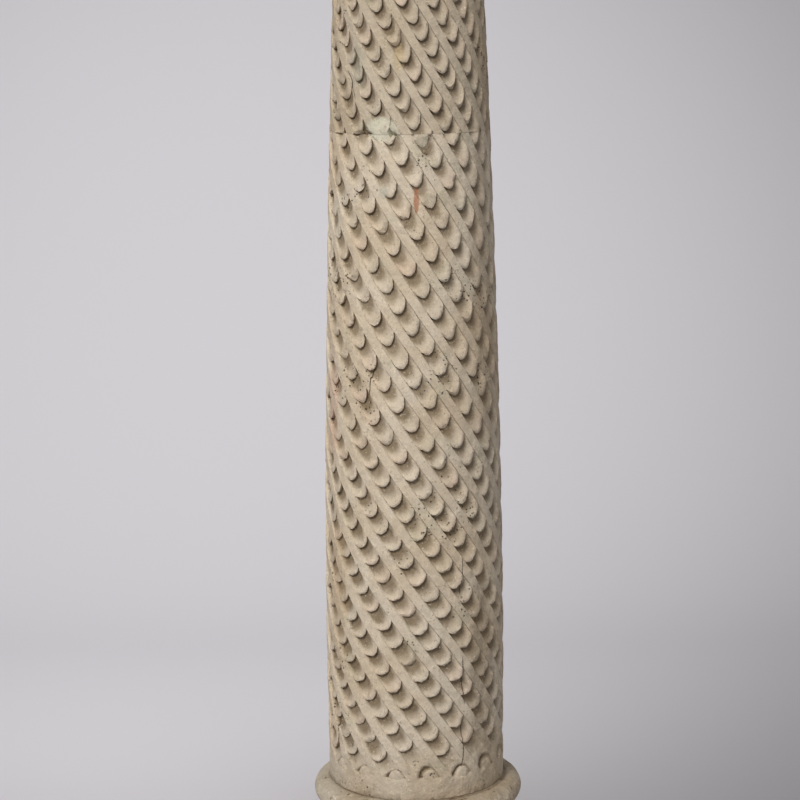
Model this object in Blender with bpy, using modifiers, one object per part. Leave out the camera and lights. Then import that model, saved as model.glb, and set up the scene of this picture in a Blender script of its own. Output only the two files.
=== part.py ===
"""Carved wooden column: a turned base ring and a tapering shaft in two stacked lengths.

Sixteen flat straps wind down the shaft, and a row of overlapping tongue scales fills
every channel between two straps. A half-round boss stands in each channel at the foot.

Metres, +Z up, origin at the middle of the underside. Angles round the shaft are measured
from the front (-Y) towards the right (+X).
"""

import math

import bmesh
import bpy
from mathutils import Vector

# Base ring
TORUS_RADIUS = 0.020        # radius of the rounded moulding's section
TORUS_PROUD = 0.031         # how far the moulding stands out past the shaft's foot
FOOT_HEIGHT = 0.030         # plain round foot under the moulding
FOOT_SETBACK = 0.010        # the foot's side, in from the moulding's widest point

# Shaft outline
SHAFT_HEIGHT = 1.560
JOINT_HEIGHT = 1.065        # where the two lengths of the shaft meet
BELLY_HEIGHT = 0.250        # height of the widest turn of the shaft
BELLY_RADIUS = 0.1458
FOOT_DRAW_IN = 0.0018       # how much narrower the shaft is at its foot than at its belly
TOP_DRAW_IN = 0.0387        # how much narrower it is at its top
TAPER_POWER = 1.63          # above 1 keeps the lower part nearly straight
BAND_HEIGHT = 0.035         # plain band at the foot and at the top

# Straps
STRAP_COUNT = 16
STRAP_WIDTH = 0.0178        # measured level, at the belly
STRAP_TURN_HEIGHT = 1.263   # height in which a strap winds once round
STRAP_START = math.radians(7.7)
STRAP_BOW = math.radians(-2.0)
UPPER_LENGTH_SHIFT = math.radians(1.5)

# Tongue scales, from their tips
SCALE_SPACING_FOOT = 0.0272
SCALE_SPACING_JOINT = 0.0328
SPACING_CHANGE_START = 0.470    # the spacing widens between these two heights
SPACING_CHANGE_END = 0.580
SCALE_SPACING_UPPER = 0.0258
UPPER_FIRST_TIP = 0.0075    # lowest row of the upper length, above the joint
TIP_PLACE = 0.0212          # from the strap's middle to the tip's middle, level
TIP_WIDTH = 0.0160
TIP_DEPTH = 0.0010          # tips lie just under the straps' face
CORNER_RISE = 0.0035        # the tip's right corner above its left one
LEFT_RISE = 0.003           # where the rounded end meets the strap on its left
RIGHT_RISE = 0.0215         # where it meets the strap on its right
RELIEF = 0.0080             # depth of the carving under a tip
GROUND_DROP = 0.006         # the deepest point lies this far below its tip

# Each channel was carved by itself: how much higher than the lowest possible start its rows
# begin, channel by channel from the front one towards the right
LOWER_ROW_LIFTS = (0.020, 0.0105, 0.028, 0.0245, 0.023, 0.015, 0.0265, 0.014,
                   0.0185, 0.004, 0.029, 0.020, 0.0045, 0.0, 0.0, 0.0)
UPPER_ROW_LIFTS = (0.0015, 0.012, 0.019, 0.004, 0.010, 0.022, 0.008, 0.015,
                   0.002, 0.020, 0.011, 0.017, 0.0225, 0.0005, 0.0235, 0.006)

# Half-round bosses at the foot
BOSS_WIDTH = 0.0245
BOSS_HEIGHT = 0.0155
BOSS_MARGIN = 0.004         # sunk ground left round a boss
BOSS_PLACE = 0.0260         # from the strap's middle to the boss's middle, level
BOSS_CORNER = math.radians(60.0)    # where its round outline is cut into facets
BOSS_CLEARANCE = 0.0005     # between a boss's margin and the ground under the lowest tips

# Fit and finish
JOINT_GAP = 0.0003          # between pieces that rest on one another
PLANE_TOLERANCE = 0.0001
BASE_TURN_STEPS = 40
BASE_ARC_STEPS = 6

# Worked out from the sizes above
BASE_HEIGHT = FOOT_HEIGHT + 2.0 * TORUS_RADIUS
TORUS_REACH = BELLY_RADIUS - FOOT_DRAW_IN + TORUS_PROUD
SEAT_RADIUS = TORUS_REACH - TORUS_RADIUS
FOOT_RADIUS = TORUS_REACH - FOOT_SETBACK
SHAFT_FOOT = BASE_HEIGHT + JOINT_GAP
FIRST_TIP = BAND_HEIGHT + BOSS_HEIGHT + BOSS_MARGIN + BOSS_CLEARANCE + GROUND_DROP
STRAP_PITCH = math.tau / STRAP_COUNT
STRAP_EDGE = 0.5 * STRAP_WIDTH / BELLY_RADIUS
TIP_ANGLE = TIP_PLACE / BELLY_RADIUS
TIP_HALF_ANGLE = 0.5 * TIP_WIDTH / BELLY_RADIUS
BOSS_ANGLE = BOSS_PLACE / BELLY_RADIUS
BOSS_HALF_ANGLE = 0.5 * BOSS_WIDTH / BELLY_RADIUS


def shaft_radius(height):
    """Radius of the shaft's face at a height above its foot."""
    if height < BELLY_HEIGHT:
        share = 1.0 - height / BELLY_HEIGHT
        return BELLY_RADIUS - FOOT_DRAW_IN * share ** 2
    share = (height - BELLY_HEIGHT) / (SHAFT_HEIGHT - BELLY_HEIGHT)
    return BELLY_RADIUS - TOP_DRAW_IN * share ** TAPER_POWER


def lower_strap_angle(height):
    """Middle of the first strap of the lower length."""
    turn = STRAP_START - math.tau * height / STRAP_TURN_HEIGHT
    return turn + STRAP_BOW * math.sin(math.pi * height / JOINT_HEIGHT)


def upper_strap_angle(height):
    """Middle of the first strap of the upper length, set a little out of line."""
    return STRAP_START - math.tau * height / STRAP_TURN_HEIGHT + UPPER_LENGTH_SHIFT


def lower_tips():
    """Lowest heights of the rows of tips of the lower length, past the joint."""
    heights = [FIRST_TIP]
    while heights[-1] < JOINT_HEIGHT + SCALE_SPACING_JOINT:
        change = SPACING_CHANGE_END - SPACING_CHANGE_START
        share = min(max((heights[-1] - SPACING_CHANGE_START) / change, 0.0), 1.0)
        step = SCALE_SPACING_FOOT + (SCALE_SPACING_JOINT - SCALE_SPACING_FOOT) * share
        heights.append(heights[-1] + step)
    return heights


def upper_tips():
    """Lowest heights of the rows of tips of the upper length, from below the joint."""
    highest_lift = max(UPPER_ROW_LIFTS)
    first = JOINT_HEIGHT + UPPER_FIRST_TIP
    while first > JOINT_HEIGHT - RIGHT_RISE - highest_lift:
        first -= SCALE_SPACING_UPPER
    last = SHAFT_HEIGHT - BAND_HEIGHT - RIGHT_RISE - GROUND_DROP - highest_lift
    count = int((last - first) / SCALE_SPACING_UPPER)
    return [first + SCALE_SPACING_UPPER * row for row in range(count + 1)]


class Carving:
    """The carved face of one length of the shaft, one channel and one row at a time."""

    def __init__(self, strap_angle, row_lifts):
        self.mesh = bmesh.new()
        self.strap_angle = strap_angle
        self.row_lifts = row_lifts

    def point(self, channel, height, across, depth=0.0):
        """A vertex at an angle across from the channel's left strap, sunk by a depth."""
        return self.upright_point(channel, height, across, height, depth)

    def upright_point(self, channel, edge_height, across, height, depth=0.0):
        """A vertex straight above or below a place at the edge of a plain band."""
        angle = self.strap_angle(edge_height) + STRAP_PITCH * channel + across
        reach = shaft_radius(height) - depth
        place = Vector((reach * math.sin(angle), -reach * math.cos(angle), SHAFT_FOOT + height))
        return self.mesh.verts.new(place)

    def face(self, *corners):
        self.mesh.faces.new(corners)

    def fan(self, hub, rim):
        """Triangles from one vertex to each pair of neighbours along a rim."""
        for first, second in zip(rim, rim[1:]):
            self.face(hub, first, second)

    def tip_row(self, lowest_height):
        """The vertices of one row of tips, a dictionary for each channel."""
        row = []
        for channel in range(STRAP_COUNT):
            height = lowest_height + self.row_lifts[channel % len(self.row_lifts)]
            corner = {
                "left": self.point(channel, height + LEFT_RISE, STRAP_EDGE),
                "tip_left": self.point(channel, height, TIP_ANGLE - TIP_HALF_ANGLE, TIP_DEPTH),
                "tip_right": self.point(
                    channel, height + CORNER_RISE, TIP_ANGLE + TIP_HALF_ANGLE, TIP_DEPTH),
                "right": self.point(channel, height + RIGHT_RISE, STRAP_PITCH - STRAP_EDGE),
                "ground": self.point(channel, height - GROUND_DROP, TIP_ANGLE, RELIEF),
            }
            row.append(corner)
        return row

    def straps(self, below, above):
        """The flat straps between two rows."""
        for channel in range(STRAP_COUNT):
            before = channel - 1
            self.face(below[before]["right"], below[channel]["left"],
                      above[channel]["left"], above[before]["right"])

    def scales(self, below, above):
        """The scales that end in the tips below and run up under the row above."""
        for low, high in zip(below, above):
            self.fan(high["ground"], [high["left"], low["left"], low["tip_left"],
                                      low["tip_right"], low["right"], high["right"]])

    def undersides(self, row):
        """The short steps down from the tips to the ground."""
        for corner in row:
            self.fan(corner["ground"], [corner["right"], corner["tip_right"],
                                        corner["tip_left"], corner["left"]])

    def arch(self, channel, half_angle, height, depth):
        """Four corners of a half-round outline standing on the foot's band."""
        corners = []
        for turn in (math.pi, math.pi - BOSS_CORNER, BOSS_CORNER, 0.0):
            across = BOSS_ANGLE + half_angle * math.cos(turn)
            rise = height * math.sin(turn)
            corners.append(self.upright_point(
                channel, BAND_HEIGHT, across, BAND_HEIGHT + rise, depth))
        return corners

    def foot(self, first_tips):
        """Ground, bosses and plain band below the first row of tips."""
        pit_half_angle = BOSS_HALF_ANGLE + BOSS_MARGIN / BELLY_RADIUS
        row = []
        for channel in range(STRAP_COUNT):
            row.append({
                "left": self.point(channel, BAND_HEIGHT, STRAP_EDGE),
                "right": self.point(channel, BAND_HEIGHT, STRAP_PITCH - STRAP_EDGE),
                "boss": self.arch(channel, BOSS_HALF_ANGLE, BOSS_HEIGHT, 0.0),
                "pit": self.arch(channel, pit_half_angle, BOSS_HEIGHT + BOSS_MARGIN, RELIEF),
            })
        self.straps(row, first_tips)
        edge = []
        rim = []
        for channel, (low, high) in enumerate(zip(row, first_tips)):
            boss = low["boss"]
            pit = low["pit"]
            self.fan(high["ground"], [high["left"], low["left"], *pit[:3], high["right"]])
            self.fan(low["right"], [high["right"], *pit[2:]])
            self.face(*boss[::-1])
            for first in range(len(boss) - 1):
                self.face(pit[first], boss[first], boss[first + 1])
                self.face(pit[first], boss[first + 1], pit[first + 1])
            self.face(low["left"], boss[0], pit[0])
            self.face(boss[-1], low["right"], pit[-1])
            places = ((low["left"], STRAP_EDGE), (boss[0], BOSS_ANGLE - BOSS_HALF_ANGLE),
                      (boss[-1], BOSS_ANGLE + BOSS_HALF_ANGLE),
                      (low["right"], STRAP_PITCH - STRAP_EDGE))
            for corner, across in places:
                edge.append(corner)
                rim.append(self.upright_point(channel, BAND_HEIGHT, across, 0.0))
        for index in range(len(rim)):
            after = (index + 1) % len(rim)
            self.face(rim[index], rim[after], edge[after], edge[index])
        self.face(*reversed(rim))

    def top(self, last_tips):
        """The last scales, running up under the plain band that ends the shaft."""
        height = SHAFT_HEIGHT - BAND_HEIGHT
        middle = 0.5 * STRAP_PITCH
        row = []
        for channel in range(STRAP_COUNT):
            row.append({
                "left": self.point(channel, height, STRAP_EDGE),
                "lip": self.point(channel, height, middle),
                "right": self.point(channel, height, STRAP_PITCH - STRAP_EDGE),
                "ground": self.point(channel, height, middle, RELIEF),
            })
        self.straps(last_tips, row)
        self.scales(last_tips, row)
        edge = []
        rim = []
        for channel, corner in enumerate(row):
            self.fan(corner["ground"], [corner["right"], corner["lip"], corner["left"]])
            places = (("left", STRAP_EDGE), ("lip", middle), ("right", STRAP_PITCH - STRAP_EDGE))
            for name, across in places:
                edge.append(corner[name])
                rim.append(self.upright_point(channel, height, across, SHAFT_HEIGHT))
        for index in range(len(rim)):
            after = (index + 1) % len(rim)
            self.face(edge[index], edge[after], rim[after], rim[index])
        self.face(*rim)

    def rows(self, heights):
        """All the rows of scales, and the straps beside them."""
        rows = [self.tip_row(height) for height in heights]
        for row in rows:
            self.undersides(row)
        for below, above in zip(rows, rows[1:]):
            self.straps(below, above)
            self.scales(below, above)
        return rows

    def cut_square(self, height, keep_below):
        """Saw the length through at a height and close the end grain."""
        parts = self.mesh.verts[:] + self.mesh.edges[:] + self.mesh.faces[:]
        bmesh.ops.bisect_plane(
            self.mesh, geom=parts, dist=PLANE_TOLERANCE,
            plane_co=(0.0, 0.0, SHAFT_FOOT + height), plane_no=(0.0, 0.0, 1.0),
            clear_outer=keep_below, clear_inner=not keep_below)
        loose_edges = [edge for edge in self.mesh.edges if edge.is_boundary]
        bmesh.ops.contextual_create(self.mesh, geom=loose_edges)

    def finished(self, name):
        """The closed solid, as an object."""
        bmesh.ops.triangulate(self.mesh, faces=self.mesh.faces[:])
        bmesh.ops.recalc_face_normals(self.mesh, faces=self.mesh.faces[:])
        mesh = bpy.data.meshes.new(name)
        self.mesh.to_mesh(mesh)
        self.mesh.free()
        return bpy.data.objects.new(name, mesh)


def clear_scene():
    for item in list(bpy.data.objects):
        bpy.data.objects.remove(item, do_unlink=True)


def make_material(name, colour, roughness):
    material = bpy.data.materials.new(name)
    material.use_nodes = True
    shader = material.node_tree.nodes["Principled BSDF"]
    shader.inputs["Base Color"].default_value = (*colour, 1.0)
    shader.inputs["Roughness"].default_value = roughness
    shader.inputs["Metallic"].default_value = 0.0
    return material


def make_base_ring():
    """Rounded moulding on a plain foot, turned from an outline."""
    middle = FOOT_HEIGHT + TORUS_RADIUS
    foot_turn = -math.acos((FOOT_RADIUS - SEAT_RADIUS) / TORUS_RADIUS)
    outline = [(0.0, BASE_HEIGHT)]
    for step in range(BASE_ARC_STEPS + 1):
        turn = 0.5 * math.pi + (foot_turn - 0.5 * math.pi) * step / BASE_ARC_STEPS
        reach = SEAT_RADIUS + TORUS_RADIUS * math.cos(turn)
        outline.append((reach, middle + TORUS_RADIUS * math.sin(turn)))
    outline.append((FOOT_RADIUS, 0.0))
    outline.append((0.0, 0.0))
    mesh = bpy.data.meshes.new("base_ring")
    corners = [(reach, 0.0, height) for reach, height in outline]
    edges = [(index, index + 1) for index in range(len(corners) - 1)]
    mesh.from_pydata(corners, edges, [])
    ring = bpy.data.objects.new("base_ring", mesh)
    turned = ring.modifiers.new("turned", "SCREW")
    turned.axis = "Z"
    turned.angle = math.tau
    turned.steps = BASE_TURN_STEPS
    turned.render_steps = BASE_TURN_STEPS
    turned.use_merge_vertices = True
    turned.merge_threshold = 0.0001
    turned.use_smooth_shade = True
    return ring


def make_lower_shaft():
    """From the foot's band up to the joint."""
    carving = Carving(lower_strap_angle, LOWER_ROW_LIFTS)
    rows = carving.rows(lower_tips())
    carving.foot(rows[0])
    carving.cut_square(JOINT_HEIGHT - 0.5 * JOINT_GAP, keep_below=True)
    return carving.finished("shaft_lower")


def make_upper_shaft():
    """From the joint up to the plain band at the top."""
    carving = Carving(upper_strap_angle, UPPER_ROW_LIFTS)
    rows = carving.rows(upper_tips())
    carving.top(rows[-1])
    carving.cut_square(JOINT_HEIGHT + 0.5 * JOINT_GAP, keep_below=False)
    return carving.finished("shaft_upper")


def main():
    clear_scene()
    column = bpy.data.collections.new("wooden_column")
    bpy.context.scene.collection.children.link(column)
    chalky_paint = make_material("old_chalky_paint", (0.52, 0.45, 0.35), 0.85)
    chalky_paint_upper = make_material("old_chalky_paint_upper", (0.51, 0.44, 0.34), 0.85)
    worn_cream_paint = make_material("worn_cream_paint", (0.50, 0.46, 0.35), 0.80)
    pieces = (
        (make_base_ring(), worn_cream_paint),
        (make_lower_shaft(), chalky_paint),
        (make_upper_shaft(), chalky_paint_upper),
    )
    for piece, material in pieces:
        piece.data.materials.append(material)
        column.objects.link(piece)


main()
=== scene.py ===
"""Looks of the carved wooden column: its fine carving, its old chalky paint and the studio."""
import math

import bmesh
import bpy
import numpy as np
from mathutils import Matrix, Vector


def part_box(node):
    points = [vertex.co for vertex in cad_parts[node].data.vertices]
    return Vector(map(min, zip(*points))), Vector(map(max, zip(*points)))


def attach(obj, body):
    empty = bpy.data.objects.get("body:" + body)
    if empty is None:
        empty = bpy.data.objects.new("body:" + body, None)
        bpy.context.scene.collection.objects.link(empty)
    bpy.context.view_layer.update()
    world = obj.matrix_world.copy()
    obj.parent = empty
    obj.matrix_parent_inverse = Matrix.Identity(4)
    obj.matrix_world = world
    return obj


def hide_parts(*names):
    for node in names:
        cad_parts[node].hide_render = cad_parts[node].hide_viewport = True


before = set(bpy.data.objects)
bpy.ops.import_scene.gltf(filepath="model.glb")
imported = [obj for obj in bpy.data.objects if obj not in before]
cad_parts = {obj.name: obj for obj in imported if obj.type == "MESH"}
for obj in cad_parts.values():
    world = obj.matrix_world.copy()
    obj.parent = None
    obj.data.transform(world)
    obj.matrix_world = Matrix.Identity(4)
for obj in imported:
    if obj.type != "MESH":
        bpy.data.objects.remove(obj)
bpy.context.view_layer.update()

# Places that the frame gives, in metres
SHAFT_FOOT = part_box("shaft_lower")[0].z
SHAFT_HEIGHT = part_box("shaft_upper")[1].z - SHAFT_FOOT
JOINT_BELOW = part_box("shaft_lower")[1].z - SHAFT_FOOT
JOINT_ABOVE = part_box("shaft_upper")[0].z - SHAFT_FOOT
JOINT_HEIGHT = 0.5 * (JOINT_BELOW + JOINT_ABOVE)
BASE_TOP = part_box("base_ring")[1].z
RING_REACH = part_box("base_ring")[1].x

# Shaft outline, heights above its foot
BELLY_HEIGHT = 0.250
BELLY_RADIUS = 0.1458
FOOT_DRAW_IN = 0.0018
TOP_DRAW_IN = 0.0387
TAPER_POWER = 1.63
BAND_HEIGHT = 0.035
EASED_EDGE = 0.0012         # how far the edges of the plain bands and of the foot are eased

# Straps
STRAP_COUNT = 16
STRAP_TURN_HEIGHT = 1.263
STRAP_START = math.radians(7.7)
STRAP_BOW = math.radians(-2.0)
UPPER_LENGTH_SHIFT = math.radians(1.5)
STRAP_PITCH = math.tau / STRAP_COUNT
PITCH_ACROSS = STRAP_PITCH * BELLY_RADIUS
LEAN = math.tau * BELLY_RADIUS / STRAP_TURN_HEIGHT      # how far a strap leans, sideways for 1 up

# Rows of tongue scales
FIRST_TIP = 0.061
SCALE_SPACING_FOOT = 0.0272
SCALE_SPACING_JOINT = 0.0328
SPACING_CHANGE_START = 0.470
SPACING_CHANGE_END = 0.580
SCALE_SPACING_UPPER = 0.0258
UPPER_FIRST_TIP = 0.0075
LOWER_ROW_LIFTS = (0.020, 0.0105, 0.028, 0.0245, 0.023, 0.015, 0.0265, 0.014,
                   0.0185, 0.004, 0.029, 0.020, 0.0045, 0.0, 0.0, 0.0)
UPPER_ROW_LIFTS = (0.0015, 0.012, 0.019, 0.004, 0.010, 0.022, 0.008, 0.015,
                   0.002, 0.020, 0.011, 0.017, 0.0225, 0.0005, 0.0235, 0.006)
MIDDLE_LIFT = 0.0145

# One scale, measured level and upright
TIP_PLACE = 0.0168          # from the strap's middle to the tip's lowest point
TIP_RIGHT = 0.0166          # from there to the scale's upright right side
RIGHT_RISE = 0.0172         # height in which its right side turns upright
TIP_LEFT = 0.0100           # the same for its left side, which ends at the strap
LEFT_RISE = 0.0036
NARROW_FROM = 0.330         # heights between which the scales grow narrow and round
NARROW_TO = 0.640
NARROW_SHIFT = 0.0016       # how far a narrow scale's tip lies further right
NARROW_RIGHT = 0.0052       # how much nearer its right side is
NARROW_LEFT_RISE = 0.0050   # how much higher its left side rises
PLUMPNESS = 0.12            # how much further up its face stays at its full height
LIP_DEPTH = 0.0007
RIM_ROUNDING_WIDTH = 0.0045
RIM_ROUNDING_DEPTH = 0.0029
RELIEF = 0.0083
UNDERCUT = 0.0008           # how far the ground goes up behind the next scale's edge
GROOVE_DEPTH = 0.0030
DISH_PLACE = 0.027          # middle of the shallow dish in a scale's face
DISH_HALF_WIDTH = 0.010
SCALE_SHARES = (0.0, 0.035, 0.10, 0.21, 0.42, 0.68, 1.0)    # rows of vertices up a scale

# Half-round bosses at the foot
BOSS_RADIUS = 0.0125
BOSS_HEIGHT = 0.0155
BOSS_PLACE = 0.0290
BOSS_SINK = 0.0008          # how far its foot goes below the band's upper edge
BOSS_ROOT = 0.0020          # how far its back goes below the deepest ground
MOAT_REACH = 0.0162
MOAT_WIDTH = 0.0038
MOAT_DEPTH = 0.0068

# Ground between the band and the first scales
GROUND_START_DEPTH = 0.0014
GROUND_STEPS = 20

# Base ring
RING_RADIUS = 0.020
RING_FOOT_SETBACK = 0.010
RING_FOOT_HEIGHT = 0.030
RING_OFF_CENTRE = 0.0022    # the shaft stands this far to the left on it
RING_DENTS = 46
RING_STEPS_ROUND = 160

MERGE_DISTANCE = 0.00003
SHARP_OVER = math.radians(40.0)


class Value:
    """A socket of a node tree. Arithmetic on it adds Math nodes to the tree."""

    def __init__(self, tree, socket):
        self.tree = tree
        self.socket = socket

    def math(self, operation, *terms):
        return self.tree.node("ShaderNodeMath", {"operation": operation}, dict(enumerate(terms)))

    def __add__(self, other):
        return self.math("ADD", self, other)

    def __radd__(self, other):
        return self.math("ADD", other, self)

    def __sub__(self, other):
        return self.math("SUBTRACT", self, other)

    def __rsub__(self, other):
        return self.math("SUBTRACT", other, self)

    def __mul__(self, other):
        return self.math("MULTIPLY", self, other)

    def __rmul__(self, other):
        return self.math("MULTIPLY", other, self)

    def __truediv__(self, other):
        return self.math("DIVIDE", self, other)

    def __pow__(self, other):
        return self.math("POWER", self, other)

    def __neg__(self):
        return self.math("MULTIPLY", self, -1.0)

    def __abs__(self):
        return self.math("ABSOLUTE", self)

    def above(self, limit):
        """Itself, or the limit where it is less."""
        return self.math("MAXIMUM", self, limit)

    def sine(self):
        return self.math("SINE", self)

    def cosine(self):
        return self.math("COSINE", self)


class Tree:
    """A node tree, and the one method that adds a node to it."""

    def __init__(self, tree):
        self.tree = tree

    def node(self, kind, settings=None, values=None, output=0):
        """Adds a node: its settings first, then the values or links of its sockets."""
        made = self.tree.nodes.new(kind)
        for name, setting in (settings or {}).items():
            setattr(made, name, setting)
        for name, value in (values or {}).items():
            if isinstance(value, Value):
                self.tree.links.new(value.socket, made.inputs[name])
            else:
                made.inputs[name].default_value = value
        return Value(self, made.outputs[output])

    def attribute(self, name):
        if self.tree.type == "GEOMETRY":
            return self.node("GeometryNodeInputNamedAttribute", {"data_type": "FLOAT"},
                             {"Name": name})
        return self.node("ShaderNodeAttribute", {"attribute_name": name}, output="Fac")

    def noise(self, place, scale, detail=2.0, roughness=0.5):
        """Noise from about -1 to 1."""
        made = self.node("ShaderNodeTexNoise", {"noise_dimensions": "3D"},
                         {"Vector": place, "Scale": scale, "Detail": detail,
                          "Roughness": roughness})
        return made * 2.0 - 1.0

    def step(self, value, low, high):
        """0 below low, 1 above high, and smooth between them."""
        return self.node("ShaderNodeMapRange", {"interpolation_type": "SMOOTHSTEP"},
                         {"Value": value, "From Min": low, "From Max": high})

    def mix(self, share, first, second):
        """Two colours mixed by a share."""
        return self.node("ShaderNodeMix", {"data_type": "RGBA"},
                         {0: share, 6: first, 7: second}, output=2)

    def vector(self, operation, first, second=None, scale=None):
        values = {0: first}
        if second is not None:
            values[1] = second
        if scale is not None:
            values["Scale"] = scale
        return self.node("ShaderNodeVectorMath", {"operation": operation}, values)

    def joined(self, x, y, z):
        return self.node("ShaderNodeCombineXYZ", None, {"X": x, "Y": y, "Z": z})

    def split(self, place):
        """The three parts of a vector."""
        made = self.node("ShaderNodeSeparateXYZ", None, {"Vector": place})
        return [Value(self, socket) for socket in made.socket.node.outputs]


def srgb(red, green, blue):
    """A colour read as 8-bit numbers, in the renderer's linear values."""
    linear = []
    for part in (red, green, blue):
        share = part / 255.0
        linear.append(share / 12.92 if share <= 0.04045 else ((share + 0.055) / 1.055) ** 2.4)
    return (*linear, 1.0)


def lower_rows():
    """Heights of the rows of tips of the lower length before each channel's lift."""
    heights = [FIRST_TIP]
    while heights[-1] < JOINT_HEIGHT + SCALE_SPACING_JOINT:
        change = SPACING_CHANGE_END - SPACING_CHANGE_START
        share = min(max((heights[-1] - SPACING_CHANGE_START) / change, 0.0), 1.0)
        heights.append(heights[-1] + SCALE_SPACING_FOOT
                       + (SCALE_SPACING_JOINT - SCALE_SPACING_FOOT) * share)
    return [height + MIDDLE_LIFT for height in heights]


def upper_rows():
    """Heights of the rows of tips of the upper length before each channel's lift."""
    first = JOINT_HEIGHT + UPPER_FIRST_TIP - 3.0 * SCALE_SPACING_UPPER
    last = SHAFT_HEIGHT - BAND_HEIGHT - RIGHT_RISE - 2.0 * MIDDLE_LIFT
    return list(np.arange(first, last, SCALE_SPACING_UPPER) + MIDDLE_LIFT)


# Across one channel, level, from the middle of the strap on its left to the next one's.
# The cover says how much of a scale's depth each place has.
STRAP_COLUMNS_LEFT = (0.0, 0.0082)
WALL_COLUMNS_LEFT = (0.0096, 0.0108, 0.0124)
FLOOR_COLUMNS = (0.0150, 0.0180, 0.0212, 0.0244, 0.0276, 0.0306, 0.0334, 0.0362, 0.0388,
                 0.0412, 0.0434, 0.0450, 0.0462)
WALL_COLUMNS_RIGHT = (0.0472, 0.0479, 0.0484)
STRAP_COLUMNS_RIGHT = (0.0490, PITCH_ACROSS)
GROOVE_COLUMNS = (WALL_COLUMNS_LEFT[1], WALL_COLUMNS_RIGHT[1])
ACROSS = np.array([*STRAP_COLUMNS_LEFT, *WALL_COLUMNS_LEFT, *FLOOR_COLUMNS,
                   *WALL_COLUMNS_RIGHT, *STRAP_COLUMNS_RIGHT])
COVER = np.interp(ACROSS, (*WALL_COLUMNS_LEFT, 0.0355, FLOOR_COLUMNS[-1], *WALL_COLUMNS_RIGHT),
                  (0.06, 0.50, 1.0, 1.0, 0.58, 0.44, 0.40, 0.0))
COVER[ACROSS < WALL_COLUMNS_LEFT[0]] = 0.0
CHANNEL_HOLD = np.interp(ACROSS, (0.0, WALL_COLUMNS_LEFT[0], WALL_COLUMNS_RIGHT[-1],
                                  PITCH_ACROSS), (0.0, 1.0, 1.0, 0.0))


def narrowness(tip):
    """0 for the broad scales near the foot, 1 for the narrow ones higher up."""
    return min(max((tip - NARROW_FROM) / (NARROW_TO - NARROW_FROM), 0.0), 1.0)


def tip_edge(tip):
    """The edge of a scale with its tip at a height: level places, and their rise above it."""
    narrow = narrowness(tip)
    lowest = TIP_PLACE + NARROW_SHIFT * narrow
    right = TIP_RIGHT - NARROW_RIGHT * narrow
    turn = np.linspace(0.0, 0.5 * math.pi, 24)
    left = turn[:13][::-1]
    level = np.concatenate([lowest - TIP_LEFT * np.sin(left), lowest + right * np.sin(turn[1:])])
    rise = np.concatenate([(LEFT_RISE + NARROW_LEFT_RISE * narrow) * (1.0 - np.cos(left)),
                           RIGHT_RISE * (1.0 - np.cos(turn[1:]))])
    right_side = max((WALL_COLUMNS_RIGHT[-1] - lowest - right) / LEAN, RIGHT_RISE + 0.001)
    return np.append(level, level[-1]), np.append(rise, right_side)


def tip_outline(tip):
    """Heights of the edge of the scales with their tips at a height, at each place across."""
    level, rise = tip_edge(tip)
    middle = 0.5 * (rise[0] + rise[-1])
    places = [0.0, *(level + LEAN * rise), max(PITCH_ACROSS, level[-1] + LEAN * rise[-1] + 0.001)]
    return tip + np.interp(ACROSS, places, [middle, *rise, middle])


def carved_depth(share, tip, height):
    """Depth of a scale's face, from its tip, share 0, to where it goes under the next one."""
    fall = min(max((share - 0.04 - PLUMPNESS * narrowness(tip)) / 0.78, 0.0), 1.0)
    face = LIP_DEPTH + (RELIEF - LIP_DEPTH) * fall ** 1.5 * (2.5 - 1.5 * fall)
    edge_level, edge_rise = tip_edge(tip)
    level = ACROSS - LEAN * (height - tip)
    from_edge = np.hypot(level[:, None] - edge_level,
                         (height - tip)[:, None] - edge_rise).min(axis=1)
    near_edge = np.clip(1.0 - from_edge / RIM_ROUNDING_WIDTH, 0.0, 1.0)
    rounding = RIM_ROUNDING_DEPTH * (1.0 - np.sqrt(1.0 - near_edge ** 2))
    depth = COVER * np.minimum(face + rounding, RELIEF)
    return np.where(np.isin(ACROSS, GROOVE_COLUMNS), np.maximum(depth, GROOVE_DEPTH), depth)


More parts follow.
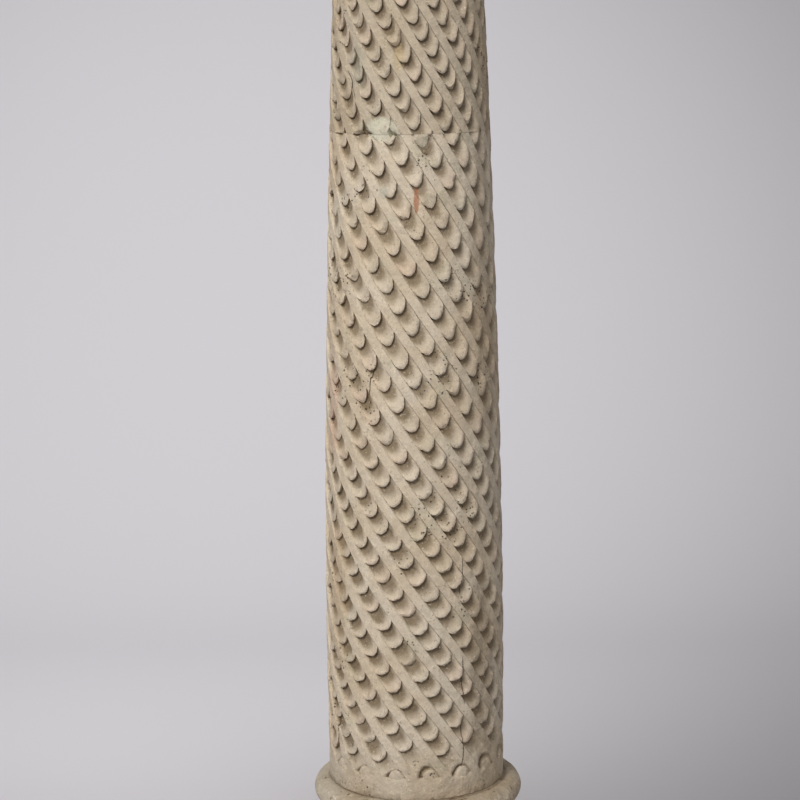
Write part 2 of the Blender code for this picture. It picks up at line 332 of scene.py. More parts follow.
class Strip:
    """One channel, row by row, with what each vertex needs for being wound on the shaft."""

    names = ("across", "depth", "angle_height", "slide", "tip_hold", "face_hold", "dish_hold",
             "tip_row", "face_row", "lip", "sway_hold")

    def __init__(self):
        self.rows = []

    def row(self, height, depth, slide, share=1.0, tip_row=0, face_row=-1, tip_hold=0.0,
            lip=0.0, angle_height=None):
        """One row of vertices. A row of a plain band gives the height that sets its angle."""
        height = height + 0.0 * ACROSS
        dish = math.exp(-((share - 0.35) / 0.2) ** 2) * np.exp(
            -((ACROSS - DISH_PLACE) / DISH_HALF_WIDTH) ** 2)
        plain = angle_height is not None
        self.rows.append({
            "height": height,
            "across": ACROSS,
            "depth": depth + 0.0 * ACROSS,
            "angle_height": angle_height + 0.0 * ACROSS if plain else height,
            "slide": slide * CHANNEL_HOLD,
            "tip_hold": tip_hold * COVER,
            "face_hold": (1.0 - share) * COVER,
            "dish_hold": dish * COVER,
            "tip_row": tip_row + 0.0 * ACROSS,
            "face_row": face_row + 0.0 * ACROSS,
            "lip": lip * COVER,
            "sway_hold": 0.0 * ACROSS if plain else 1.0 + 0.0 * ACROSS,
        })

    def scales(self, tips):
        """All the rows of scales, each from its tips to under the next ones."""
        for index, (tip, above) in enumerate(zip(tips, tips[1:])):
            low, high = tip_outline(tip), tip_outline(above)
            for share in SCALE_SHARES:
                height = (1.0 - share) * low + share * high
                depth = carved_depth(share, tip, height)
                if share == 1.0:
                    height = height + UNDERCUT * COVER
                self.row(height, depth, 1.0, share, index + (share > 0.5), index,
                         abs(1.0 - 2.0 * share), lip=max(0.0, 1.0 - 5.0 * share))

    def foot(self, first_tip):
        """The plain band, its edge, and the ground up to the first tips."""
        for height, depth in ((0.0, 0.0014), (EASED_EDGE, 0.0003), (0.012, 0.0), (0.024, 0.0),
                              (BAND_HEIGHT - EASED_EDGE, 0.0002),
                              (BAND_HEIGHT, EASED_EDGE * COVER)):
            self.row(height, depth, 0.0, angle_height=BAND_HEIGHT)
        for step in range(1, GROUND_STEPS + 1):
            share = (step / GROUND_STEPS) ** 1.15
            height = BAND_HEIGHT + share * (tip_outline(first_tip) - BAND_HEIGHT)
            ground = GROUND_START_DEPTH + (RELIEF - GROUND_START_DEPTH) * share ** 2.2
            level = ACROSS - LEAN * (height - BAND_HEIGHT)
            from_boss = np.hypot(level - BOSS_PLACE, height - BAND_HEIGHT)
            moat = MOAT_DEPTH * np.exp(-((from_boss - MOAT_REACH) / MOAT_WIDTH) ** 2)
            depth = COVER * np.minimum(ground + moat, RELIEF)
            height = height + (UNDERCUT * COVER if step == GROUND_STEPS else 0.0)
            self.row(height, depth, share, 1.0, 0, -1, max(0.0, 2.0 * share - 1.0))

    def top(self, index, last_tip):
        """The last scales, running up under the plain band that ends the shaft."""
        edge = SHAFT_HEIGHT - BAND_HEIGHT
        for share in SCALE_SHARES:
            height = (1.0 - share) * tip_outline(last_tip) + share * edge
            depth = carved_depth(share, last_tip, height) * min(1.0, 6.0 * (1.0 - share))
            self.row(height, depth, 1.0 - share, share, index, index,
                     max(0.0, 1.0 - 2.0 * share), lip=max(0.0, 1.0 - 5.0 * share))
        for rise, depth in ((0.001, 0.0), (0.018, 0.0), (BAND_HEIGHT - EASED_EDGE, 0.0003),
                            (BAND_HEIGHT, EASED_EDGE)):
            self.row(edge + rise, depth, 0.0, angle_height=edge)

    def mesh(self, name):
        """The strip as a mesh that lies flat, with its attributes."""
        wide = len(ACROSS)
        corners = []
        for row in self.rows:
            corners += [(x, 0.0, z) for x, z in zip(ACROSS, row["height"])]
        faces = []
        for upper in range(1, len(self.rows)):
            for right in range(1, wide):
                low = (upper - 1) * wide + right
                high = upper * wide + right
                faces.append((low - 1, low, high, high - 1))
        mesh = bpy.data.meshes.new(name)
        mesh.from_pydata(corners, [], faces)
        for label in self.names:
            layer = mesh.attributes.new(label, "FLOAT", "POINT")
            layer.data.foreach_set("value", np.concatenate([row[label] for row in self.rows]))
        return mesh


def winding_tree():
    """Geometry nodes that wind a channel round the shaft, once for each point they are given."""
    group = bpy.data.node_groups.new("wind_channels_round_shaft", "GeometryNodeTree")
    sizes = {"Geometry": "Geometry", "Channel": "Object", "Strap Start": "Float",
             "Strap Bow": "Float", "Seed": "Int", "Tip Drift": "Float", "Side Drift": "Float",
             "Thickness Change": "Float", "Dish": "Float", "Chips": "Float",
             "Ragged Edge": "Float", "Unevenness": "Float", "Strap Sway": "Float",
             "Finish": "Material"}
    for name, kind in sizes.items():
        group.interface.new_socket(name, in_out="INPUT", socket_type="NodeSocket" + kind)
    group.interface.new_socket("Geometry", in_out="OUTPUT", socket_type="NodeSocketGeometry")
    tree = Tree(group)
    given = group.nodes.new("NodeGroupInput")
    size = {socket.name: Value(tree, socket) for socket in given.outputs if socket.name}

    channel = tree.node("GeometryNodeObjectInfo", {"transform_space": "ORIGINAL"},
                        {"Object": size["Channel"]}, output="Geometry")
    copies = tree.node("GeometryNodeInstanceOnPoints", None,
                       {"Points": size["Geometry"], "Instance": channel})
    spread = tree.node("GeometryNodeRealizeInstances", None, {"Geometry": copies})

    copy = tree.attribute("copy")
    tip_scale = tree.attribute("tip_row") * 16.0 + copy
    face_scale = tree.attribute("face_row") * 16.0 + copy

    def chance(scale, extra):
        """A number from -1 to 1 for each scale."""
        return tree.node("FunctionNodeRandomValue", {"data_type": "FLOAT"},
                         {2: -1.0, 3: 1.0, "ID": scale, "Seed": size["Seed"] + float(extra)},
                         output=1)

    loose = tree.node("GeometryNodeStoreNamedAttribute", {"data_type": "FLOAT"},
                      {"Geometry": spread, "Name": "tone",
                       "Value": chance(face_scale, 6) * tree.attribute("face_hold")})
    tip_hold = tree.attribute("tip_hold")
    lifted = tree.attribute("lift") * tree.attribute("slide")
    flat = tree.node("GeometryNodeInputPosition")
    ragged = tree.noise(tree.vector("ADD", flat, tree.joined(0.0, copy * 0.31, 0.0)), 110.0, 2.0)
    height = (tree.split(flat)[2] + lifted + chance(tip_scale, 2) * tip_hold * size["Tip Drift"]
              + ragged * tree.attribute("lip") * size["Ragged Edge"])
    angle_height = tree.attribute("angle_height") + lifted
    bow = (angle_height * (math.pi / JOINT_HEIGHT)).sine()
    across = tree.attribute("across") + chance(tip_scale, 1) * tip_hold * size["Side Drift"]
    turn = (size["Strap Start"] - angle_height * (math.tau / STRAP_TURN_HEIGHT)
            + bow * size["Strap Bow"] + copy * STRAP_PITCH + across / BELLY_RADIUS)
    below = (1.0 - height / BELLY_HEIGHT).above(0.0)
    above = ((height - BELLY_HEIGHT) / (SHAFT_HEIGHT - BELLY_HEIGHT)).above(0.0)
    face = BELLY_RADIUS - below ** 2.0 * FOOT_DRAW_IN - above ** TAPER_POWER * TOP_DRAW_IN
    thinner = chance(face_scale, 3) * tree.attribute("face_hold") * size["Thickness Change"]
    hollow = (chance(face_scale, 4) * 0.5 + 0.5) * tree.attribute("dish_hold") * size["Dish"]
    reach = face - tree.attribute("depth") - thinner - hollow
    outward = tree.joined(turn.sine(), -turn.cosine(), 0.0)
    sideways = tree.joined(turn.cosine(), turn.sine(), 0.0)
    wound = tree.vector("ADD", tree.vector("SCALE", outward, scale=reach),
                        tree.joined(0.0, 0.0, height + SHAFT_FOOT))
    push = tree.noise(wound, 24.0) * 1.2 + tree.noise(wound, 60.0) * 0.7
    push = (push + tree.noise(wound, 130.0, 3.0)) * size["Unevenness"]
    chipped = tree.step(tree.noise(wound, 75.0, 3.0, 0.6), 0.08, 0.34)
    broken = tree.step(chance(face_scale, 7), 0.50, 0.90)
    push = push - (chipped + broken * 1.2) * tree.attribute("lip") * size["Chips"]
    sway = tree.noise(wound, 30.0, 1.0) * size["Strap Sway"] * tree.attribute("sway_hold")
    moved = tree.vector("ADD", tree.vector("SCALE", outward, scale=push),
                        tree.vector("SCALE", sideways, scale=sway))
    placed = tree.node("GeometryNodeSetPosition", None,
                       {"Geometry": loose, "Position": tree.vector("ADD", wound, moved)})
    joined = tree.node("GeometryNodeMergeByDistance", None,
                       {"Geometry": placed, "Distance": MERGE_DISTANCE})
    whole = tree.node("GeometryNodeRealizeInstances", None, {"Geometry": joined})
    finished = tree.node("GeometryNodeSetMaterial", None,
                         {"Geometry": whole, "Material": size["Finish"]})
    result = group.nodes.new("NodeGroupOutput")
    group.links.new(finished.socket, result.inputs[0])
    return group


def wound_mesh(name, channel_mesh, lifts, group, sizes):
    """A channel wound round the shaft once for each lift, as a plain mesh."""
    channel = bpy.data.objects.new(name + "_channel", channel_mesh)
    starts = bpy.data.meshes.new(name)
    starts.from_pydata([(0.0, 0.0, 0.0)] * STRAP_COUNT, [], [])
    numbers = [float(number) for number in range(STRAP_COUNT)]
    lifted = [lift - MIDDLE_LIFT for lift in lifts]
    starts.attributes.new("copy", "FLOAT", "POINT").data.foreach_set("value", numbers)
    starts.attributes.new("lift", "FLOAT", "POINT").data.foreach_set("value", lifted)
    blank = bpy.data.objects.new(name + "_starts", starts)
    bpy.context.scene.collection.objects.link(channel)
    bpy.context.scene.collection.objects.link(blank)
    modifier = blank.modifiers.new("wind", "NODES")
    modifier.node_group = group
    sockets = {item.name: item.identifier for item in group.interface.items_tree
               if item.in_out == "INPUT"}
    for label, value in {"Channel": channel, **sizes}.items():
        modifier[sockets[label]] = value
    ready = blank.evaluated_get(bpy.context.evaluated_depsgraph_get())
    made = bpy.data.meshes.new_from_object(ready)
    made.name = name
    bpy.data.objects.remove(blank)
    bpy.data.objects.remove(channel)
    return made


def close_ends(work, cut_height, keep_below):
    """Saws a wound length square at a height and closes its open ends."""
    bmesh.ops.bisect_plane(
        work, geom=work.verts[:] + work.edges[:] + work.faces[:], dist=0.00002,
        plane_co=(0.0, 0.0, SHAFT_FOOT + cut_height), plane_no=(0.0, 0.0, 1.0),
        clear_outer=keep_below, clear_inner=not keep_below)
    middle = SHAFT_FOOT + 0.5 * (JOINT_HEIGHT if keep_below else JOINT_HEIGHT + SHAFT_HEIGHT)
    open_edges = [edge for edge in work.edges if edge.is_boundary]
    for end in (False, True):
        loop = [edge for edge in open_edges if (edge.verts[0].co.z > middle) == end]
        bmesh.ops.contextual_create(work, geom=loop)


def piece(name, mesh, material_slot, *nodes):
    """A finished piece of the column."""
    made = bpy.data.objects.new(name, mesh)
    bpy.context.scene.collection.objects.link(made)
    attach(made, "root")
    if nodes:
        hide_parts(*nodes)
    return made


def smooth(mesh):
    """Shades a mesh smooth except across its sharp edges."""
    mesh.shade_smooth()
    mesh.set_sharp_from_angle(angle=SHARP_OVER)


# Places where the carving is worn, filled or broken out: the angle from the front in degrees,
# the height above the shaft's foot, half the width, half the height, the depth that the
# surface is brought to there, and how much
WORN_PLACES = (
    (-20.0, 1.072, 0.0300, 0.0190, 0.0015, 0.95),
    (9.0, 1.052, 0.0130, 0.0120, 0.0045, 0.75),
    (-34.0, 1.0645, 0.0150, 0.0046, 0.0160, 1.00),
    (-12.0, 1.064, 0.0070, 0.0036, 0.0140, 1.00),
    (-18.5, 0.977, 0.0100, 0.0090, 0.0030, 0.80),
    (13.5, 0.963, 0.0110, 0.0110, 0.0050, 0.60),
    (23.0, 0.605, 0.0090, 0.0060, 0.0075, 0.90),
    (-24.0, 0.690, 0.0070, 0.0110, 0.0080, 0.80),
    (52.0, 0.345, 0.0200, 0.0800, 0.0045, 0.70),
    (42.0, 0.085, 0.0160, 0.0260, 0.0060, 0.55),
    (-43.0, 0.120, 0.0080, 0.0140, 0.0070, 0.60),
    (-62.0, 0.085, 0.0160, 0.0200, 0.0060, 0.60),
    (-47.0, 1.140, 0.0100, 0.0260, 0.0080, 0.60),
    (48.0, 0.200, 0.0200, 0.0900, 0.0048, 0.55),
    (-68.0, 0.450, 0.0200, 0.1200, 0.0046, 0.50),
    (-66.0, 0.930, 0.0200, 0.1000, 0.0050, 0.50),
    (-52.0, 1.210, 0.0200, 0.0500, 0.0050, 0.50),
    (150.0, 0.300, 0.0300, 0.0900, 0.0040, 0.60),
    (-140.0, 0.820, 0.0200, 0.0500, 0.0050, 0.60),
    (100.0, 1.210, 0.0200, 0.0300, 0.0050, 0.60),
)
WORN_RIPPLE = 0.0006        # how uneven a worn place stays


def wear_down(mesh):
    """Brings the surface to its worn depth at the worn places."""
    count = len(mesh.vertices)
    places = np.empty(count * 3)
    mesh.vertices.foreach_get("co", places)
    places = places.reshape(count, 3)
    height = places[:, 2] - SHAFT_FOOT
    turn = np.arctan2(places[:, 0], -places[:, 1])
    reach = np.hypot(places[:, 0], places[:, 1])
    face = shaft_radius(height)
    ripple = 0.5 * (np.sin(900.0 * height + 70.0 * turn) + np.sin(610.0 * height - 110.0 * turn))
    for degrees, middle, half_width, half_height, depth, amount in WORN_PLACES:
        apart = np.arctan2(np.sin(turn - math.radians(degrees)),
                           np.cos(turn - math.radians(degrees))) * BELLY_RADIUS
        spread = (apart / half_width) ** 2 + ((height - middle) / half_height) ** 2
        share = amount * np.exp(-spread ** 2)
        reach = reach + share * (face - depth + WORN_RIPPLE * ripple - reach)
    places[:, 0] = reach * np.sin(turn)
    places[:, 1] = -reach * np.cos(turn)
    mesh.vertices.foreach_set("co", places.ravel())


def shaft_radius(height):
    """Radius of the shaft's face at heights above its foot."""
    below = np.clip(1.0 - height / BELLY_HEIGHT, 0.0, 1.0)
    above = np.clip((height - BELLY_HEIGHT) / (SHAFT_HEIGHT - BELLY_HEIGHT), 0.0, 1.0)
    return BELLY_RADIUS - FOOT_DRAW_IN * below ** 2 - TOP_DRAW_IN * above ** TAPER_POWER


def carved_length(name, strip, lifts, group, finish, seed, start, bow, cut_height, keep_below):
    """One length of the shaft, wound, cut square and closed."""
    sizes = {"Strap Start": start, "Strap Bow": bow, "Seed": seed, "Tip Drift": 0.0016,
             "Side Drift": 0.0018, "Thickness Change": 0.0014, "Dish": 0.0012, "Chips": 0.0032,
             "Ragged Edge": 0.0026, "Unevenness": 0.00080, "Strap Sway": 0.0010,
             "Finish": finish}
    mesh = wound_mesh(name, strip.mesh(name + "_channel"), lifts, group, sizes)
    wear_down(mesh)
    work = bmesh.new()
    work.from_mesh(mesh)
    close_ends(work, cut_height, keep_below)
    bmesh.ops.triangulate(work, faces=[face for face in work.faces if len(face.verts) > 4])
    bmesh.ops.recalc_face_normals(work, faces=work.faces[:])
    work.to_mesh(mesh)
    work.free()
    smooth(mesh)
    return mesh


def boss_mesh(name):
    """One half-round boss at the foot, closed, with the attributes that the winding needs."""
    shares = (0.0, 0.40, 0.72, 0.90, 1.0)
    depths = (0.0002, 0.0004, 0.0008, 0.0015, 0.0028)
    back_depth = RELIEF + BOSS_ROOT
    steps = 16
    work = bmesh.new()
    labels = {label: work.verts.layers.float.new(label) for label in Strip.names}

    def corner(share, depth, turn):
        across = BOSS_PLACE + BOSS_RADIUS * share * math.cos(turn)
        height = BAND_HEIGHT - BOSS_SINK + BOSS_HEIGHT * share * math.sin(turn)
        made = work.verts.new((across, 0.0, height))
        made[labels["across"]] = across
        made[labels["angle_height"]] = BAND_HEIGHT
        made[labels["depth"]] = depth
        made[labels["lip"]] = 0.5 if share > 0.8 else 0.0
        return made

    turns = [math.pi * (1.0 - step / steps) for step in range(steps + 1)]
    arcs = [[corner(share, depth, turn) for turn in turns]
            for share, depth in zip(shares[1:], depths[1:])]
    arcs.append([corner(1.06, back_depth, turn) for turn in turns])
    hub = corner(0.0, depths[0], 0.0)
    back = corner(0.0, back_depth, 0.0)
    for left, right in zip(arcs[0], arcs[0][1:]):
        work.faces.new((hub, right, left))
    for inner, outer in zip(arcs, arcs[1:]):
        for step in range(steps):
            work.faces.new((inner[step], inner[step + 1], outer[step + 1], outer[step]))
    for left, right in zip(arcs[-1], arcs[-1][1:]):
        work.faces.new((back, left, right))
    work.faces.new([hub, *(arc[0] for arc in arcs), back])
    work.faces.new([back, *(arc[-1] for arc in reversed(arcs)), hub])
    bmesh.ops.triangulate(work, faces=[face for face in work.faces if len(face.verts) > 4])
    mesh = bpy.data.meshes.new(name)
    work.to_mesh(mesh)
    work.free()
    return mesh


def base_ring_mesh(name):
    """The turned base ring: a rounded moulding on a plain foot, dented and worn with age."""
    middle = BASE_TOP - RING_RADIUS
    reach = RING_REACH - RING_OFF_CENTRE
    seat = reach - RING_RADIUS
    foot_radius = reach - RING_FOOT_SETBACK
    foot_turn = -math.acos((foot_radius - seat) / RING_RADIUS)
    outline = [(0.0, BASE_TOP), (0.5 * seat, BASE_TOP), (seat - 0.014, BASE_TOP),
               (seat - 0.007, BASE_TOP - 0.0001)]
    for turn in np.linspace(0.5 * math.pi, foot_turn, 22):
        outline.append((seat + RING_RADIUS * math.cos(turn), middle + RING_RADIUS * math.sin(turn)))
    outline += [(foot_radius, 0.020), (foot_radius, 0.0016), (foot_radius - EASED_EDGE, 0.0),
                (0.5 * foot_radius, 0.0), (0.0, 0.0)]
    work = bmesh.new()
    profile = [work.verts.new((place, 0.0, height)) for place, height in outline]
    edges = [work.edges.new(pair) for pair in zip(profile, profile[1:])]
    bmesh.ops.spin(work, geom=profile + edges, cent=(0.0, 0.0, 0.0), axis=(0.0, 0.0, 1.0),
                   angle=math.tau, steps=RING_STEPS_ROUND, use_merge=True)
    bmesh.ops.remove_doubles(work, verts=work.verts[:], dist=0.00005)
    bmesh.ops.recalc_face_normals(work, faces=work.faces[:])
    hollow = work.verts.layers.float.new("depth")
    worn = work.verts.layers.float.new("lip")
    rng = np.random.default_rng(11)
    dents = [(rng.uniform(0.0, math.tau), rng.uniform(0.0, 1.0), rng.uniform(0.03, 0.12),
              rng.uniform(0.0004, 0.0018)) for dent in range(RING_DENTS)]
    for vertex in work.verts:
        place = vertex.co
        out = math.hypot(place.x, place.y)
        # Painted shade, with dirt, in a band round the ring's top where the shaft stands on it: the
        # depth given there darkens the paint as in a hollow.
        vertex[hollow] = 0.9 * RELIEF * max(0.0, 1.0 - abs(out - seat + 0.006) / 0.008)
        vertex[worn] = math.exp(-((out - reach + 0.002) / 0.004) ** 2)
        if out < seat - 0.010 or place.z < 0.001:
            continue
        turn = math.atan2(place.y, place.x)
        around = (place.z - RING_FOOT_HEIGHT) / (BASE_TOP - RING_FOOT_HEIGHT)
        sink = 0.0003 * (1.0 + math.sin(5.0 * turn + 1.0)) + 0.0002 * (1.0 + math.sin(13.0 * turn))
        for dent_turn, dent_around, width, depth in dents:
            apart = math.remainder(turn - dent_turn, math.tau) / width
            sink += depth * math.exp(-apart ** 2 - ((around - dent_around) / 0.16) ** 2)
        sink *= min(1.0, max(0.0, (out - seat + 0.010) / 0.010))
        vertex.co.x -= place.x / out * sink
        vertex.co.y -= place.y / out * sink
        vertex.co.z -= 0.5 * sink * max(0.0, 2.0 * around - 1.0)
    bmesh.ops.translate(work, verts=work.verts[:], vec=(RING_OFF_CENTRE, 0.0, 0.0))
    mesh = bpy.data.meshes.new(name)
    work.to_mesh(mesh)
    work.free()
    smooth(mesh)
    return mesh


# Cracks in the shaft: the angle from the front in degrees where each starts, its lowest and
# highest point above the shaft's foot, how far it leans in degrees for 1 m up, and its width
CRACKS = (
    (31.0, 0.045, 0.135, 8.0, 0.0008),
    (32.5, 0.150, 0.235, -14.0, 0.0009),
    (31.0, 0.325, 0.400, 10.0, 0.0006),
    (-29.0, 0.655, 0.705, 40.0, 0.0008),
    (-41.0, 1.115, 1.165, -200.0, 0.0009),
    (-64.0, 0.055, 0.120, 30.0, 0.0009),
    (132.0, 0.250, 0.700, -12.0, 0.0009),
    (-118.0, 0.060, 0.420, 9.0, 0.0008),
)

# Stains and fillings: angle in degrees, height, half width, half height, sRGB colour, strength
STAINS = (
    (4.0, 0.966, 0.0050, 0.0220, (172, 112, 80), 0.75),
    (-20.0, 1.072, 0.0330, 0.0210, (202, 200, 180), 0.75),
    (-18.5, 0.977, 0.0110, 0.0100, (172, 170, 154), 0.60),
    (13.5, 0.963, 0.0120, 0.0120, (150, 148, 128), 0.55),
    (9.0, 1.052, 0.0150, 0.0120, (158, 150, 132), 0.55),
    (-7.5, 1.180, 0.0120, 0.0240, (186, 166, 126), 0.50),
    (-66.0, 0.640, 0.0220, 0.0900, (184, 152, 132), 0.45),
    (-40.0, 1.170, 0.0220, 0.0400, (168, 164, 146), 0.45),
    (-60.0, 0.320, 0.0300, 0.1400, (172, 150, 120), 0.35),
    (49.0, 0.190, 0.0340, 0.1700, (122, 102, 76), 0.40),
    (58.0, 0.800, 0.0340, 0.3000, (134, 112, 84), 0.30),
)


# Colours that the paints share
RUBBED_EDGE = srgb(226, 214, 194)
PIT_AND_CRACK = srgb(58, 46, 33)
PALE_FLECK = srgb(232, 224, 204)
ROSY_SCALE = srgb(196, 168, 148)


def old_paint(name, light, warm, green, dirt_and_shade, grime=0.40):
    """Chalky old paint over wood: patchy, darker in the hollows with dirt and painted shade, rubbed
    pale on the edges.
    """
    material = bpy.data.materials.new(name)
    material.use_nodes = True
    tree = Tree(material.node_tree)
    shader = material.node_tree.nodes["Principled BSDF"]
    place = tree.node("ShaderNodeTexCoord", output="Object")
    x, y, z = tree.split(place)
    turn = x.math("ARCTAN2", x, -y)
    height = z - SHAFT_FOOT
    lumps = tree.noise(place, 48.0, 3.0, 0.55)
    mottle = tree.noise(place, 95.0, 4.0, 0.65)
    grain = tree.noise(place, 420.0, 3.0, 0.6)
    colour = tree.mix(tree.step(tree.noise(place, 7.0, 4.0, 0.6), -0.2, 0.25), light, warm)
    colour = tree.mix(tree.step(tree.noise(place, 26.0, 4.0, 0.6), 0.05, 0.45) * 0.65,
                      colour, green)
    # Darker in the hollows by the depth of the carving: dirt, and painted shade where the recesses
    # fall in shadow.
    hollow = tree.attribute("depth") / RELIEF
    colour = tree.mix(tree.step(hollow + mottle * 0.25 + lumps * 0.25, 0.25, 1.05) * 0.80,
                      colour, dirt_and_shade)
    worn = tree.attribute("lip") * tree.step(mottle, -0.25, 0.25)
    colour = tree.mix(worn * 0.50, colour, RUBBED_EDGE)
    smudges = tree.step(lumps + mottle * 0.6, 0.25, 0.75)
    colour = tree.mix(smudges * grime, colour, dirt_and_shade)
    # Darker towards the shaft's foot, and over the whole base ring below it.
    foot_darkening = 1.0 - tree.step(height + lumps * 0.02, 0.0, 0.13)
    colour = tree.mix(foot_darkening * 0.20, colour, dirt_and_shade)

    cracks = None
    wander = tree.noise(place, 30.0, 3.0, 0.7) * 0.0035
    for degrees, low, high, lean, width in CRACKS:
        line = math.radians(degrees) + (height - low) * math.radians(lean)
        apart = abs((turn - line) * BELLY_RADIUS + wander)
        run = tree.step(height, low, low + 0.012) * (1.0 - tree.step(height, high - 0.012, high))
        crack = (1.0 - tree.step(apart, 0.35 * width, 1.3 * width)) * run
        cracks = crack if cracks is None else cracks.above(crack)
    for degrees, middle, half_width, half_height, stain, strength in STAINS:
        wide = (turn - math.radians(degrees)) * (BELLY_RADIUS / half_width)
        tall = (height - middle) / half_height
        spread = (wide * wide + tall * tall) + mottle * 0.5 + lumps * 0.5
        colour = tree.mix((1.0 - tree.step(spread, 0.45, 1.15)) * strength, colour, srgb(*stain))

    cells = tree.node("ShaderNodeTexVoronoi", {"feature": "F1"}, {"Vector": place, "Scale": 150.0})
    pit_zone = tree.step(tree.noise(place, 13.0, 2.0), 0.12, 0.36)
    pits = (1.0 - tree.step(cells + grain * 0.12, 0.13, 0.26)) * pit_zone
    colour = tree.mix(pits.above(cracks) * 0.85, colour, PIT_AND_CRACK)
    flecks = tree.noise(place, 270.0, 2.0, 0.6)
    colour = tree.mix(tree.step(flecks, 0.24, 0.40) * tree.step(lumps, -0.35, 0.15) * 0.45,
                      colour, PALE_FLECK)
    colour = tree.mix(tree.step(-flecks, 0.20, 0.40) * tree.step(mottle, -0.30, 0.20) * 0.50,
                      colour, dirt_and_shade)
    tone = tree.attribute("tone")
    colour = tree.mix(tree.step(tone, 0.15, 0.9) * 0.30, colour, ROSY_SCALE)
    shaded = tree.vector("SCALE", colour,
                         scale=mottle * 0.24 + grain * 0.22 + tone * 0.06 + 1.02)
    link = material.node_tree.links.new
    link(shaded.socket, shader.inputs["Base Color"])
    link((mottle * 0.12 + 0.82).socket, shader.inputs["Roughness"])
    bump = tree.node("ShaderNodeBump", None,
                     {"Height": lumps * 0.9 + mottle * 0.55 + grain * 0.18 - pits * 1.3
                      - cracks * 1.6, "Strength": 0.85, "Distance": 0.0019})
    link(bump.socket, shader.inputs["Normal"])
    shader.inputs["Specular IOR Level"].default_value = 0.25
    return material


def paper_material(name, colour):
    """Plain matt paper, seen from its front only, so that a view from behind looks through it."""
    material = bpy.data.materials.new(name)
    material.use_nodes = True
    tree = Tree(material.node_tree)
    shader = material.node_tree.nodes["Principled BSDF"]
    shader.inputs["Base Color"].default_value = colour
    shader.inputs["Roughness"].default_value = 0.9
    behind = tree.node("ShaderNodeNewGeometry", output="Backfacing")
    material.node_tree.links.new((1.0 - behind).socket, shader.inputs["Alpha"])
    return material


def make_column():
    """All the pieces of the column, with their finishes."""
    lower_finish = old_paint("chalky_paint_lower", srgb(208, 196, 176), srgb(200, 184, 160),
                             srgb(188, 180, 156), srgb(100, 82, 54))
    upper_finish = old_paint("chalky_paint_upper", srgb(193, 180, 159), srgb(184, 168, 144),
                             srgb(174, 166, 142), srgb(92, 75, 50))
    base_finish = old_paint("worn_cream_paint", srgb(200, 190, 170), srgb(178, 162, 138),
                            srgb(172, 166, 144), srgb(92, 74, 52), 0.90)
    group = winding_tree()

    lower = Strip()
    tips = lower_rows()
    lower.foot(tips[0])
    lower.scales(tips)
    mesh = carved_length("carved_shaft_lower", lower, LOWER_ROW_LIFTS, group, lower_finish, 3,
                         STRAP_START, STRAP_BOW, JOINT_BELOW, True)
    piece("carved_shaft_lower", mesh, "shaft_paint", "shaft_lower")

    upper = Strip()
    tips = upper_rows()
    upper.scales(tips)
    upper.top(len(tips) - 1, tips[-1])
    mesh = carved_length("carved_shaft_upper", upper, UPPER_ROW_LIFTS, group, upper_finish, 8,
                         STRAP_START + UPPER_LENGTH_SHIFT, 0.0, JOINT_ABOVE, False)
    piece("carved_shaft_upper", mesh, "shaft_paint_upper", "shaft_upper")

    boss_sizes = {"Strap Start": STRAP_START, "Strap Bow": STRAP_BOW, "Seed": 5,
                  "Tip Drift": 0.0, "Side Drift": 0.0, "Thickness Change": 0.0, "Dish": 0.0,
                  "Chips": 0.0020, "Ragged Edge": 0.0, "Unevenness": 0.0007,
                  "Strap Sway": 0.0, "Finish": lower_finish}
    bosses = wound_mesh("foot_bosses", boss_mesh("foot_boss"), LOWER_ROW_LIFTS, group, boss_sizes)
    smooth(bosses)
    piece("foot_bosses", bosses, "shaft_paint")

    base = base_ring_mesh("turned_base_ring")
    base.materials.append(base_finish)
    piece("turned_base_ring", base, "base_paint", "base_ring")


# Camera, in the photograph's place
CAMERA_DISTANCE = 3.6425
CAMERA_ABOVE_FOOT = 1.27146
CAMERA_PITCH = math.radians(10.0)
CAMERA_ROLL = math.radians(0.66)
CAMERA_YAW = math.atan(12.8 / 2280.0)
CAMERA_LENS = 102.6


def make_camera():
    """The camera, where the photograph was taken from."""
    camera = bpy.data.cameras.new("camera")
    camera.lens = CAMERA_LENS
    camera.sensor_width = 36.0
    made = bpy.data.objects.new("camera", camera)
    bpy.context.scene.collection.objects.link(made)
    ahead = Vector((-math.sin(CAMERA_YAW) * math.cos(CAMERA_PITCH),
                    math.cos(CAMERA_YAW) * math.cos(CAMERA_PITCH), -math.sin(CAMERA_PITCH)))
    right = ahead.cross(Vector((0.0, 0.0, 1.0))).normalized()
    up = right.cross(ahead)
    rolled_right = right * math.cos(CAMERA_ROLL) - up * math.sin(CAMERA_ROLL)
    rolled_up = right * math.sin(CAMERA_ROLL) + up * math.cos(CAMERA_ROLL)
    turned = Matrix((rolled_right, rolled_up, -ahead)).transposed().to_4x4()
    turned.translation = Vector((0.0, -CAMERA_DISTANCE, SHAFT_FOOT + CAMERA_ABOVE_FOOT))
    made.matrix_world = turned
    bpy.context.scene.camera = made


def soft_light(name, place, target, size, power, colour, cone=None):
    """A square soft light, or a spot with a wholly soft edge where a cone is given."""
    light = bpy.data.lights.new(name, "AREA" if cone is None else "SPOT")
    if cone is None:
        light.shape = "SQUARE"
        light.size = size
    else:
        light.shadow_soft_size = size
        light.spot_size = cone
        light.spot_blend = 1.0
    light.energy = power
    light.color = colour
    made = bpy.data.objects.new(name, light)
    bpy.context.scene.collection.objects.link(made)
    made.location = place
    made.rotation_euler = (Vector(target) - Vector(place)).to_track_quat("-Z", "Y").to_euler()
    made.visible_camera = False
    return made


# Studio sweep: floor, curve and wall in one sheet
SWEEP_HALF_WIDTH = 7.0
SWEEP_FRONT = -7.0
SWEEP_CURVE_START = 1.0
SWEEP_CURVE_RADIUS = 2.0
SWEEP_TOP = 7.0


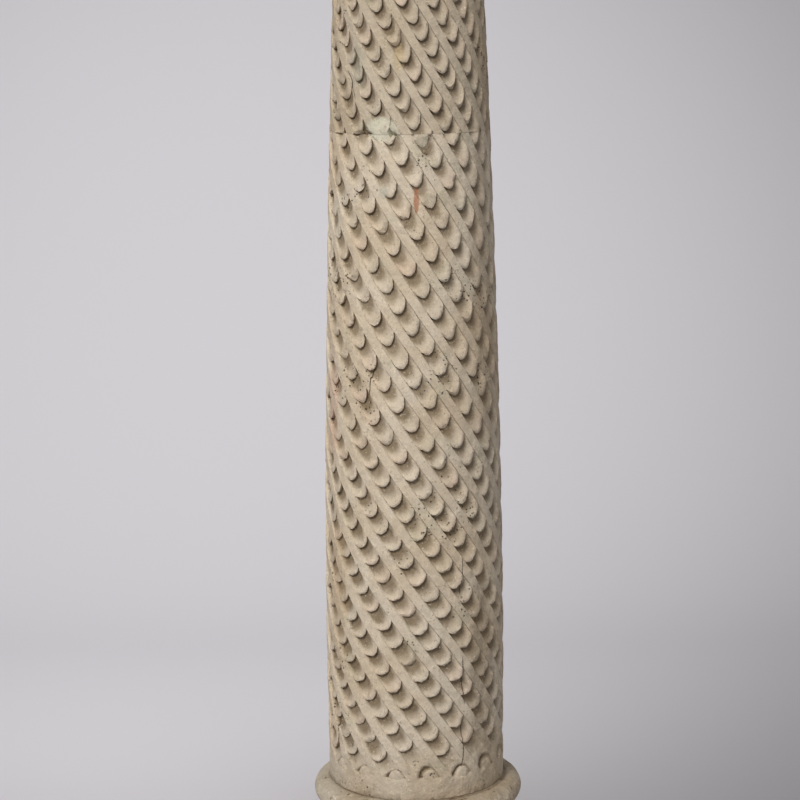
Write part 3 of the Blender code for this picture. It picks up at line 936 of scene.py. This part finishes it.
def make_sweep(finish):
    """The paper sweep that is floor and backdrop in one."""
    side = [(SWEEP_FRONT, 0.0), (SWEEP_CURVE_START, 0.0)]
    for turn in np.linspace(0.0, 0.5 * math.pi, 25)[1:]:
        side.append((SWEEP_CURVE_START + SWEEP_CURVE_RADIUS * math.sin(turn),
                     SWEEP_CURVE_RADIUS * (1.0 - math.cos(turn))))
    side.append((side[-1][0], SWEEP_TOP))
    corners = [(x, y, z) for y, z in side for x in (-SWEEP_HALF_WIDTH, SWEEP_HALF_WIDTH)]
    faces = [(low, low + 1, low + 3, low + 2) for low in range(0, len(corners) - 2, 2)]
    mesh = bpy.data.meshes.new("studio_sweep")
    mesh.from_pydata(corners, [], faces)
    mesh.shade_smooth()
    mesh.materials.append(finish)
    sweep = bpy.data.objects.new("studio_sweep", mesh)
    bpy.context.scene.collection.objects.link(sweep)
    return sweep


def make_studio():
    """Backdrop and lights. The key lights the column alone, and the wash the backdrop alone."""
    pieces = [item for item in bpy.context.scene.collection.objects if item.type == "MESH"]
    sweep = make_sweep(paper_material("pale_paper", srgb(214, 213, 216)))
    middle = (0.0, 0.0, 0.8)
    key = soft_light("key_light", (-1.85, -4.0, 4.5), middle, 2.6, 22.2, (1.0, 0.97, 0.94))
    key.data.spread = math.radians(40.0)
    wash = soft_light("backdrop_light", (-0.6, -2.5, 2.2), (-0.55, 2.5, 0.22), 0.5, 730.0,
                      (1.0, 0.98, 0.99), math.radians(58.5))
    soft_light("fill_light", (3.0, -3.5, 1.2), middle, 3.0, 16.0, (1.0, 0.95, 0.90))
    for light, lit_things in ((key, pieces), (wash, [sweep])):
        lit = bpy.data.collections.new("lit_by_" + light.name)
        for item in lit_things:
            lit.objects.link(item)
        light.light_linking.receiver_collection = lit
    wash.light_linking.blocker_collection = wash.light_linking.receiver_collection

    world = bpy.data.worlds.new("studio")
    bpy.context.scene.world = world
    world.use_nodes = True
    background = world.node_tree.nodes["Background"]
    background.inputs["Color"].default_value = (0.98, 0.96, 0.98, 1.0)
    background.inputs["Strength"].default_value = 0.31
    bpy.context.scene.view_settings.view_transform = "Standard"


make_column()
make_camera()
make_studio()
